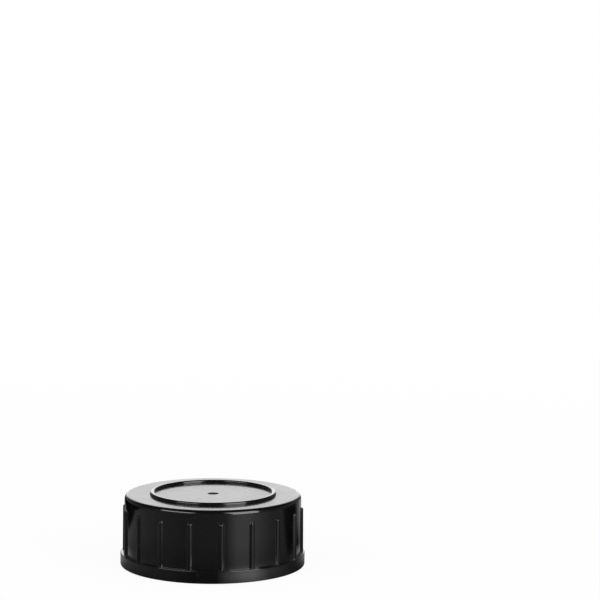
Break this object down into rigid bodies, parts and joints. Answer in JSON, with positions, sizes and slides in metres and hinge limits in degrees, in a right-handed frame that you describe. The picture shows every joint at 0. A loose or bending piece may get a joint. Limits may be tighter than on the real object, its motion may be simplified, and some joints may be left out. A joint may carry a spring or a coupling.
{
  "type": "screw cap with cone seal insert",
  "caption": "Short round screw cap with vertical grip ribs, a rim bead, a raised ring on its closed top, an internal thread and a cone-shaped sealing insert.",
  "frame": {"origin": "on the cap's axis, in the plane of the rim that it stands on", "axes": "+Z along the cap's axis, up through the closed deck; -Y is the front"},
  "size_m": [0.0384, 0.0384, 0.0152],
  "materials": {
    "cap_shell": "glossy black moulded polypropylene",
    "sealing_insert": "natural translucent low-density polyethylene"
  },
  "bodies": {
    "root": {"cap_shell": "cap_shell", "sealing_insert": "sealing_insert"}
  },
  "joints": []
}
